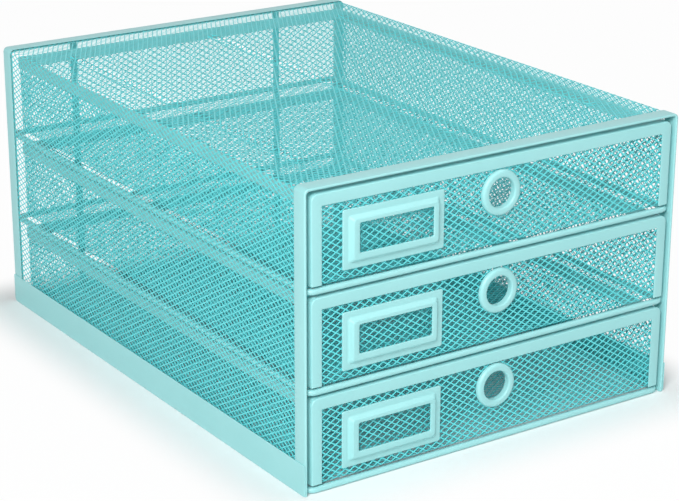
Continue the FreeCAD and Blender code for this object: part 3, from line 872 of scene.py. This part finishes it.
@dataclass
class Casing:
    """Folded trims round the shell's front and rear edges, base strips and rear straps."""

    workshop: Workshop
    body: str = "cabinet"
    trim_gauge: float = 1.6
    corner_radius: float = 3.2
    mesh_gap: float = 0.9
    web: float = 0.6
    nose_rounding: float = 0.95
    trim_corner_steps: int = 8
    strip_corner: float = 2.0
    strip_corner_steps: int = 5
    fold_rounding: float = 0.9
    fold_steps: int = 3
    edge: float = 0.18

    def build(self) -> None:
        """Make all the pieces."""
        for node, rearward in (("front_trim", False), ("rear_trim", True)):
            self.workshop.fit(self.trim(node, rearward), self.body, Slot.STRIP, node)
        for side in Side:
            word = side.name.lower()
            node = f"{word}_base_strip"
            self.workshop.fit(self.base_strip(node, side), self.body, Slot.STRIP, node)
            strap = f"{word}_rear_strap"
            box = Envelope.of(strap)
            bar = bevelled_bar(f"{strap}_bar", box.low, box.high, self.edge, self.workshop.strip)
            self.workshop.fit(bar, self.body, Slot.STRIP, strap)

    def trim(self, node: str, rearward: bool) -> bpy.types.Object:
        """Strip folded over one edge of the shell, with a round nose and the sheet between its skins.

        Args:
            node: The CAD node that it stands for.
            rearward: Whether its nose points to the back.

        Returns:
            The new piece.
        """
        box = Envelope.of(node)
        width = box.high.y - box.low.y
        nose = self.trim_gauge / 2 * self.nose_rounding
        skin = (self.trim_gauge - self.mesh_gap) / 2
        hem = skin * HEM_ROUNDING
        section = rounded([
            (0.0, width, hem), (0.0, 0.0, nose), (self.trim_gauge, 0.0, nose),
            (self.trim_gauge, width, hem), (self.trim_gauge - skin, width, hem),
            (self.trim_gauge - skin, self.web), (skin, self.web), (skin, width, hem)])

        def place(across: float, up: float, depth: float) -> Point:
            """Point of the frame for one of the section."""
            return across, box.high.y - depth if rearward else box.low.y + depth, up

        arch = Arch(box.high.x, box.high.z, box.low.z, self.corner_radius,
                    corner_steps=self.trim_corner_steps)
        return solid(f"{node}_strip", *loft(sweep(arch, section, place)), self.workshop.strip)

    def base_strip(self, node: str, side: Side) -> bpy.types.Object:
        """Strip along the foot of a side, folded in under it.

        Args:
            node: The CAD node that it stands for.
            side: Which side it is on.

        Returns:
            The new piece.
        """
        box = Envelope.of(node)
        outer, inner = (box.low.x, box.high.x) if side is Side.LEFT else (box.high.x, box.low.x)
        gauge = abs(outer) - Envelope.of("front_trim").high.x
        inward = -side.value
        # Section across the strip: outside, fold, underside web, and back up the inside
        section = rounded([
            (outer, box.high.z, self.edge), (outer, 0.0, gauge * self.fold_rounding),
            (inner, 0.0, self.edge), (inner, gauge, self.edge),
            (outer + inward * gauge, gauge, self.edge / 2),
            (outer + inward * gauge, box.high.z, self.edge)], self.fold_steps)
        # The lower corners are round, so towards each end the section's foot rises
        rings = []
        for end, inside in ((box.low.y, 1), (box.high.y, -1)):
            ends = []
            for step in range(self.strip_corner_steps + 1):
                turn = math.pi / 2 * step / self.strip_corner_steps
                along = end + inside * self.strip_corner * (1 - math.cos(turn))
                floor = self.strip_corner * (1 - math.sin(turn))
                ends.append([(across, along, max(up, floor) if up > gauge else up + floor)
                             for across, up in section])
            rings += ends if inside > 0 else ends[::-1]
        return solid(f"{node}_fold", *loft(rings), self.workshop.strip)


@dataclass
class RunnerLoops:
    """Three steel rods, each bent into a closed rectangle that carries a drawer."""

    workshop: Workshop
    body: str = "cabinet"
    bend_radius: float = 4.5
    round_steps: int = 18
    corner_steps: int = 8
    smooth_angle: float = 60.0

    def build(self) -> None:
        """Make the three loops."""
        for level in Level:
            node = f"{level.value}_runner_loop"
            box = Envelope.of(node)
            radius = (box.high.z - box.low.z) / 2
            route = rounded_rectangle((box.low.x + radius, box.low.y + radius),
                                      (box.high.x - radius, box.high.y - radius),
                                      self.bend_radius, self.corner_steps)
            middle = (box.low.z + box.high.z) / 2
            rings = [self._circle(route, index, middle, radius) for index in range(len(route))]
            piece = solid(f"{node}_rod", *loft(rings, endless=True), self.workshop.rod, self.smooth_angle)
            self.workshop.fit(piece, self.body, Slot.ROD, node)

    def _circle(self, route: list[Pair], index: int, middle: float, radius: float) -> Ring:
        """Circle round the rod at one place of its route.

        Args:
            route: Places (x, y) on the rod's middle line.
            index: Which of them the circle is at.
            middle: Height of the middle line.
            radius: Radius of the rod.

        Returns:
            Points of the circle.
        """
        least_squash = 0.5
        here = Vector(route[index])
        ahead = (Vector(route[(index + 1) % len(route)]) - here).normalized()
        behind = (here - Vector(route[index - 1])).normalized()
        along = (ahead + behind).normalized()
        # In a bend the circle is stretched outwards, so that the rod keeps its thickness
        outward = Vector((along.y, -along.x)) / max((ahead + behind).length / 2, least_squash)
        ring = []
        for step in range(self.round_steps):
            turn = 2 * math.pi * step / self.round_steps
            spot = here + outward * radius * math.cos(turn)
            ring.append((spot.x, spot.y, middle + radius * math.sin(turn)))
        return ring


@dataclass
class Drawer:
    """One drawer: a tray folded from expanded sheet, its strips, label holder and finger ring."""

    workshop: Workshop
    level: Level
    lattice: Lattice = Lattice(6.08, 3.92)
    bend_radius: float = 2.0
    floor_columns: int = 78
    wall_columns: int = 18
    floor_rows: int = 172
    front_rows: int = 26
    rear_rows: int = 24
    frame_side_width: float = 6.4
    frame_top_width: float = 6.8
    frame_corner: float = 3.5
    frame_corner_steps: int = 8
    frame_edge: float = 0.7
    mitre_gap: float = 0.3
    rim_corner: float = 1.5
    rim_rounding: float = 0.46
    ring_steps: int = 72
    ring_arc_steps: int = 6
    ring_dome: float = 1.9
    ring_lip: float = 1.1
    ring_neck: float = 9.4
    ring_bore: float = 8.6
    ring_back: float = 11.5
    ring_back_round: float = 0.3
    hole_radius: float = 9.6
    label_flange: float = 3.4
    label_slope: float = 2.0
    label_edge_round: float = 0.45
    label_foot_round: float = 1.0
    label_brow_round: float = 0.9
    label_back_round: float = 0.4
    label_back_inset: float = 0.2
    label_corner: float = 1.0
    label_corner_growth: float = 0.25
    label_corner_reach: float = 3.0
    label_arc_steps: int = 5
    label_back_steps: int = 3
    window_lip: float = 0.35
    window_lip_slant: float = 0.3
    window_left: float = 9.0
    window_right: float = 8.4
    window_top: float = 7.5
    window_foot: float = 8.9
    tab_width: float = 11.0
    tab_columns: int = 16
    tab_rows: int = 6
    spare_columns: int = 2
    stamped_smooth_angle: float = 50.0

    def __post_init__(self) -> None:
        """Read the places of the tray's sheets from the frame."""
        self.body = f"{self.level.value}_drawer"
        self.floor = self.box("floor_mesh")
        self.wall = self.box("right_mesh")
        self.face = self.box("front_mesh")
        self.rear = self.box("rear_mesh")
        self.frame = self.box("front_frame")
        self.gauge = self.wall.high.x - self.wall.low.x
        self.half = self.wall.high.x - self.gauge / 2
        self.front_y = self.face.low.y + self.gauge / 2
        self.rear_y = self.rear.high.y - self.gauge / 2
        self.base = self.floor.low.z + self.gauge / 2

    def box(self, part: str) -> Envelope:
        """Envelope of one of this drawer's CAD nodes."""
        return Envelope.of(self.node(part))

    def node(self, part: str) -> str:
        """Name of one of this drawer's CAD nodes."""
        return f"{self.body}_{part}"

    def build(self) -> None:
        """Make every piece of the drawer."""
        self.tray()
        self.rear_tabs()
        makers = {"front_frame": self.front_frame, "rim": self.rim, "label_holder": self.label_holder,
                  "finger_ring": self.finger_ring}
        for part, make in makers.items():
            self.workshop.fit(make(), self.body, Slot.STRIP, self.node(part))

    def fold(self, flat: np.ndarray, at_end: bool) -> np.ndarray:
        """Fold the flat blank into a tray.

        Args:
            flat: Rows of distance across from the middle, distance back from the front sheet's
                middle surface, and height off the sheet.
            at_end: Whether this is the front or the rear sheet, which stays straight across.

        Returns:
            Rows of x, y and z.
        """
        run = np.abs(flat[:, 0])
        straight = self.half - self.bend_radius
        across, side_rise = bend(run, flat[:, 2], straight, self.bend_radius)
        middle = (self.rear_y - self.front_y) / 2
        along = flat[:, 1] - middle
        back, end_rise = bend(np.abs(along), flat[:, 2], middle - self.bend_radius, self.bend_radius)
        on_end = np.full(run.shape, at_end) | (run <= straight)
        level_run = np.minimum(np.abs(along), middle + self.gauge / 2)
        depth = self.front_y + middle + np.sign(along) * np.where(on_end, back, level_run)
        width = np.sign(flat[:, 0]) * np.where(on_end, run, across)
        return np.column_stack((width, depth, self.base + np.where(on_end, end_rise, side_rise)))

    def tray(self) -> None:
        """Lay the floor, the two walls, the front and the rear as parts of one blank."""
        flat_half = self.half - self.bend_radius
        arc = self.bend_radius * math.pi / 2
        wall_reach = flat_half + arc + self.wall.high.z - self.base - self.bend_radius
        length = self.rear_y - self.front_y
        front_reach = self.bend_radius - arc - (self.face.high.z - self.base - self.bend_radius)
        rear_reach = length - self.bend_radius + arc + self.rear.high.z - self.base - self.bend_radius
        first = -self.floor_columns // 2
        edge = self.wall.low.x
        ring_level = (self.box("finger_ring").low.z + self.box("finger_ring").high.z) / 2
        hole_run = self.bend_radius - arc - (ring_level - self.base - self.bend_radius)
        whole = Limits((-wall_reach, -wall_reach), (wall_reach, length + wall_reach))
        face_edges = ((-edge, front_reach), (edge, rear_reach))
        face_first, face_columns = first - self.spare_columns, self.floor_columns + 2 * self.spare_columns
        runs = {
            "floor_mesh": (Patch(first, self.floor_columns, 1, self.floor_rows), whole),
            "left_mesh": (Patch(first - self.wall_columns, self.wall_columns, 1, self.floor_rows), whole),
            "right_mesh": (Patch(first + self.floor_columns, self.wall_columns, 1, self.floor_rows), whole),
            "front_mesh": (Patch(face_first, face_columns, 1 - self.front_rows, self.front_rows),
                           Limits(*face_edges, (0.0, hole_run), self.hole_radius)),
            "rear_mesh": (Patch(face_first, face_columns, 1 + self.floor_rows, self.rear_rows),
                          Limits(*face_edges)),
        }
        for part, (patch, limits) in runs.items():
            at_end = part in ("front_mesh", "rear_mesh")
            sheet = self.workshop.expanded.sheet(
                f"{self.body}_{part.removesuffix('_mesh')}_sheet", self.lattice, patch, limits,
                partial(self.fold, at_end=at_end))
            self.workshop.fit(sheet, self.body, Slot.MESH, self.node(part))

    def rear_tabs(self) -> None:
        """Lay the tabs by which the rear sheet laps onto the inside of both walls."""
        height = self.rear.high.z - self.rear.low.z - self.box("rim").high.z + self.box("rim").low.z
        patch = Patch(0, self.tab_columns, 0, self.tab_rows)
        limits = Limits((0.0, 0.0), (height, self.tab_width))
        for side in Side:
            sheet = self.workshop.expanded.sheet(
                f"{self.body}_{side.name.lower()}_rear_tab", self.lattice, patch, limits,
                partial(self.stand_tab, side=side))
            self.workshop.fit(sheet, self.body, Slot.MESH)

    def stand_tab(self, flat: np.ndarray, side: Side) -> np.ndarray:
        """Stand a flat tab upright against a wall, with the sheet's outer face outwards.

        Args:
            flat: Rows of height on the tab, distance along it, and height off the sheet.
            side: Which wall it laps onto.

        Returns:
            Rows of x, y and z.
        """
        wall = side.value * (self.half - self.gauge)
        forward = flat[:, 1] if side is Side.LEFT else self.tab_width - flat[:, 1]
        return np.column_stack((wall - side.value * flat[:, 2], self.rear.low.y - forward,
                                self.rear.low.z + flat[:, 0]))

    def front_frame(self) -> bpy.types.Object:
        """Strip folded round the front: flat face, rounded outer edge, return along the walls.

        Returns:
            The new piece.
        """
        box = self.frame
        gauge = self.gauge
        depth = box.high.y - box.low.y
        width = self.frame_top_width
        hem = gauge * HEM_ROUNDING
        section = rounded([
            (width, 0.0, hem), (0.0, 0.0, self.frame_edge), (0.0, depth, hem / 2), (gauge, depth, hem / 2),
            (gauge, gauge), (width, gauge, hem)])
        slope = self.frame_side_width / self.frame_top_width

        def place(across: float, up: float, back: float) -> Point:
            """Point of the frame for one of the section."""
            return across, box.low.y + back, up

        arch = Arch(box.high.x, box.high.z, box.low.z, self.frame_corner, slope, self.mitre_gap,
                    self.frame_corner_steps)
        return solid(f"{self.body}_frame_strip", *loft(sweep(arch, section, place)), self.workshop.strip)

    def rim(self) -> bpy.types.Object:
        """Strip folded over the top edges of the left, rear and right sheets.

        Returns:
            The new piece.
        """
        box = self.box("rim")
        gauge = (box.high.x - self.wall.high.x) * 2 + self.gauge
        skin = gauge / 2 - self.gauge / 2
        depth = box.high.z - box.low.z
        nose = gauge * self.rim_rounding
        section = rounded([
            (0.0, depth), (0.0, 0.0, nose), (gauge, 0.0, nose), (gauge, depth),
            (gauge - skin, depth), (gauge - skin, skin), (skin, skin), (skin, depth)])

        def place(across: float, back: float, down: float) -> Point:
            """Point of the frame for one of the section."""
            return across, back, box.high.z - down

        arch = Arch(box.high.x, box.high.y, box.low.y, self.rim_corner)
        return solid(f"{self.body}_rim_strip", *loft(sweep(arch, section, place)), self.workshop.strip)

    def label_holder(self) -> bpy.types.Object:
        """Stamped frame: flange, soft step up to a raised face, window, and hollow behind.

        Returns:
            The new piece.
        """
        box = self.box("label_holder")
        back, front = box.high.y, box.low.y
        gauge = self.gauge
        flange = back - gauge
        step_in, step_out = self.label_flange, self.label_flange + self.label_slope
        # Profile from the outer edge inwards: distance inside the edge, then depth
        outside = rounded([
            (0.0, back), (0.0, flange, self.label_edge_round), (step_in, flange, self.label_foot_round),
            (step_out, front, self.label_brow_round), (step_out + 2 * gauge, front)], self.label_arc_steps)
        inside = rounded([
            (step_out + 2 * gauge, front + gauge), (step_out, front + gauge, self.label_back_round),
            (step_in + gauge / 2, back - gauge / 4, self.label_back_round), (step_in, back),
            (self.label_back_inset, back)], self.label_back_steps)
        window = (box.low.x + self.window_left, box.high.x - self.window_right,
                  box.low.z + self.window_foot, box.high.z - self.window_top)
        lip = self.window_lip
        slant = lip * self.window_lip_slant
        rings = [self._inset_ring(box, inset, depth) for inset, depth in outside]
        rings += [self._window_ring(window, grow, depth) for grow, depth in (
            (lip, front), (slant, front + slant), (0.0, front + lip), (0.0, front + gauge))]
        rings += [self._inset_ring(box, inset, depth) for inset, depth in inside]
        return solid(f"{self.body}_label_frame", *loft(rings, endless=True), self.workshop.strip,
                     self.stamped_smooth_angle)

    def _facing_ring(self, low: Pair, high: Pair, radius: float, depth: float) -> Ring:
        """Rectangle with rounded corners that faces the front."""
        outline = rounded_rectangle(low, high, radius, self.label_arc_steps)
        return [(across, depth, up) for across, up in outline]

    def _inset_ring(self, box: Envelope, inset: float, depth: float) -> Ring:
        """The label holder's outline, drawn in by inset."""
        radius = self.label_corner + self.label_corner_growth * min(inset, self.label_corner_reach)
        return self._facing_ring((box.low.x + inset, box.low.z + inset),
                                 (box.high.x - inset, box.high.z - inset), radius, depth)

    def _window_ring(self, window: tuple[float, float, float, float], grow: float, depth: float) -> Ring:
        """The window's outline, grown by a lip."""
        left, right, foot, top = window
        return self._facing_ring((left - grow, foot - grow), (right + grow, top + grow),
                                 self.label_corner + grow, depth)

    def finger_ring(self) -> bpy.types.Object:
        """Eyelet with a domed flange in front, a neck through the sheet and a flange behind.

        Returns:
            The new piece.
        """
        box = self.box("finger_ring")
        outer = (box.high.x - box.low.x) / 2
        middle = (box.low.z + box.high.z) / 2
        sheet_front, sheet_back = self.face.low.y, self.face.high.y
        section = rounded([
            (self.ring_bore, box.low.y, self.ring_lip), (outer, box.low.y, self.ring_dome),
            (outer, sheet_front), (self.ring_neck, sheet_front), (self.ring_neck, sheet_back),
            (self.ring_back, sheet_back), (self.ring_back, box.high.y, self.ring_back_round),
            (self.ring_bore, box.high.y, self.ring_back_round)], self.ring_arc_steps)
        rings = []
        for step in range(self.ring_steps):
            turn = 2 * math.pi * step / self.ring_steps
            rings.append([(radius * math.cos(turn), depth, middle + radius * math.sin(turn))
                          for radius, depth in section])
        return solid(f"{self.body}_ring_eyelet", *loft(rings, endless=True), self.workshop.strip,
                     self.stamped_smooth_angle)


@dataclass
class Studio:
    """Pale floor, soft light and a camera at the photograph's viewing angle."""

    camera_place: Point = (-671.9, -1012.4, 499.4)
    camera_target: Point = (12.2, 0.0, 59.9)
    camera_roll: float = 0.14
    focal_pixels: float = 2089.9
    sensor_mm: float = 36.0
    clip_end: float = 100000.0
    floor_size: float = 9000.0
    floor_steps: int = 12
    world_diffuse: float = 0.10
    lamp_target: Point = (0.0, 0.0, 80.0)
    key_place: Point = (-1300.0, -1300.0, 1300.0)
    key_size: float = 900.0
    key_power: float = 48.0
    fill_place: Point = (900.0, -700.0, 1700.0)
    fill_size: float = 1200.0
    fill_power: float = 9.0

    def build(self) -> None:
        """Set the floor, the light and the camera."""
        self.floor()
        self.world()
        self.lamp("key_softbox", self.key_place, self.key_size, self.key_power)
        self.lamp("fill_softbox", self.fill_place, self.fill_size, self.fill_power)
        self.camera()
        bpy.context.scene.view_settings.view_transform = "Standard"

    def floor(self) -> None:
        """Paper sweep under the object."""
        reach = self.floor_size / 2
        steps = self.floor_steps
        line = [-reach + self.floor_size * step / steps for step in range(steps + 1)]
        points = [(across, along, 0.0) for along in line for across in line]
        row = steps + 1
        faces = [(along * row + across, along * row + across + 1, (along + 1) * row + across + 1,
                  (along + 1) * row + across) for along in range(steps) for across in range(steps)]
        solid("paper_sweep", points, faces, StudioFloor().build())

    def world(self) -> None:
        """White surroundings: full white where they are seen or mirrored, softer as light."""
        world = bpy.data.worlds.new("white_studio")
        bpy.context.scene.world = world
        tree = bare_tree(world)
        seen = add_node(tree, "ShaderNodeLightPath")
        shown = seen.outputs["Is Camera Ray"]
        for name in ("Is Glossy Ray", "Is Transmission Ray"):
            shown = add_node(tree, "ShaderNodeMath", {"operation": "MAXIMUM"},
                             {0: shown, 1: seen.outputs[name]}).outputs[0]
        strength = add_node(tree, "ShaderNodeMapRange", inputs={
            "Value": shown, "To Min": self.world_diffuse, "To Max": 1.0})
        light = add_node(tree, "ShaderNodeBackground", inputs={
            "Color": (1, 1, 1, 1), "Strength": strength.outputs["Result"]})
        add_node(tree, "ShaderNodeOutputWorld", inputs={"Surface": light.outputs["Background"]})

    def lamp(self, name: str, place: Point, size: float, power: float) -> None:
        """Square soft light that points at the middle of the object.

        Args:
            name: Name of the lamp.
            place: Where it hangs, in millimetres.
            size: Length of its sides.
            power: Power in watts.
        """
        light = bpy.data.lights.new(name, "AREA")
        light.shape = "SQUARE"
        light.size = size * MM
        light.energy = power
        lamp = bpy.data.objects.new(name, light)
        lamp.location = Vector(place) * MM
        aim = Vector(self.lamp_target) * MM - lamp.location
        lamp.rotation_euler = aim.to_track_quat("-Z", "Y").to_euler()
        bpy.context.scene.collection.objects.link(lamp)

    def camera(self) -> None:
        """Camera at the photograph's viewing angle."""
        lens = bpy.data.cameras.new("camera")
        lens.sensor_fit = "HORIZONTAL"
        lens.sensor_width = self.sensor_mm
        lens.lens = self.focal_pixels / IMAGE_WIDTH * self.sensor_mm
        lens.clip_end = self.clip_end * MM
        camera = bpy.data.objects.new("camera", lens)
        place = Vector(self.camera_place) * MM
        aim = Vector(self.camera_target) * MM - place
        roll = Matrix.Rotation(math.radians(self.camera_roll), 3, "Z")
        turn = aim.to_track_quat("-Z", "Y").to_matrix() @ roll
        camera.matrix_world = Matrix.Translation(place) @ turn.to_4x4()
        bpy.context.scene.collection.objects.link(camera)
        bpy.context.scene.camera = camera


def main() -> None:
    """Build the scene."""
    logging.basicConfig(level=logging.INFO, format="%(message)s")
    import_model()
    Studio().build()
    # Painted shade: the mesh wears the same powder coat as the strips, but its tint is written deeper and
    # more saturated, standing in for the teal shade between and behind the strands and making up for the
    # glints and white seen between them
    mesh_coat_with_painted_shade = PowderCoat("powder_coat_on_expanded_steel", deep="#5AD3D8", pale="#6CDCE0", peel_mm=0.7,
                           sheen_level=0.3)
    workshop = Workshop(
        strip=PowderCoat("powder_coat_on_folded_steel_strip").build(),
        rod=PowderCoat("powder_coat_on_steel_rod", peel_mm=0.9).build(),
        expanded=ExpandedSteel(mesh_coat_with_painted_shade.build()))
    Shell(workshop).build()
    Casing(workshop).build()
    RunnerLoops(workshop).build()
    for level in Level:
        Drawer(workshop, level).build()


if __name__ == "__main__":
    main()
